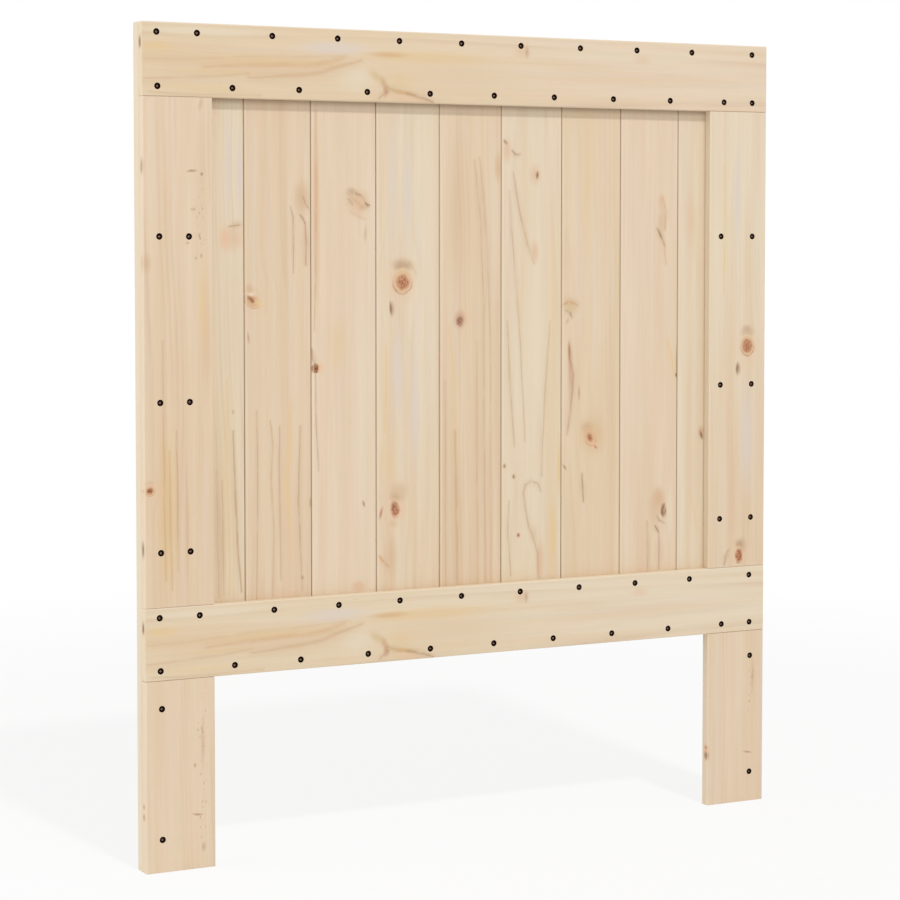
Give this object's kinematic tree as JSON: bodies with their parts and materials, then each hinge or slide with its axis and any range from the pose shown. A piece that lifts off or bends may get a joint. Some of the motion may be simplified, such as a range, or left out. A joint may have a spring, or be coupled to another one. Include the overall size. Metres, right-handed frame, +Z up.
{
  "type": "plank headboard",
  "caption": "Upright pine plank headboard for a bed, framed by flat rails and stiles held with countersunk screws, standing on short legs.",
  "frame": {"origin": "centre of the base, on the floor between the legs and in the middle of the thickness", "axes": "+Z up along the posts, +X to the right of someone looking at the front, +Y towards the wall behind the headboard"},
  "size_m": [0.905, 0.03, 1.04],
  "materials": {
    "frame_pine": "planed and sanded, unvarnished",
    "panel_pine": "planed and sanded, unvarnished",
    "black_screw": "black phosphate coating, satin"
  },
  "bodies": {
    "root": {"top_rail": "frame_pine", "bottom_rail": "frame_pine", "left_stile": "frame_pine", "right_stile": "frame_pine", "left_leg_board": "frame_pine", "right_leg_board": "frame_pine", "left_post": "panel_pine", "right_post": "panel_pine", "plank_1": "panel_pine", "plank_2": "panel_pine", "plank_3": "panel_pine", "plank_4": "panel_pine", "plank_5": "panel_pine", "plank_6": "panel_pine", "plank_7": "panel_pine", "plank_8": "panel_pine", "plank_9": "panel_pine", "top_rail_screws": "black_screw", "bottom_rail_screws": "black_screw", "left_stile_screws": "black_screw", "right_stile_screws": "black_screw", "left_leg_screws": "black_screw", "right_leg_screws": "black_screw"}
  },
  "joints": []
}
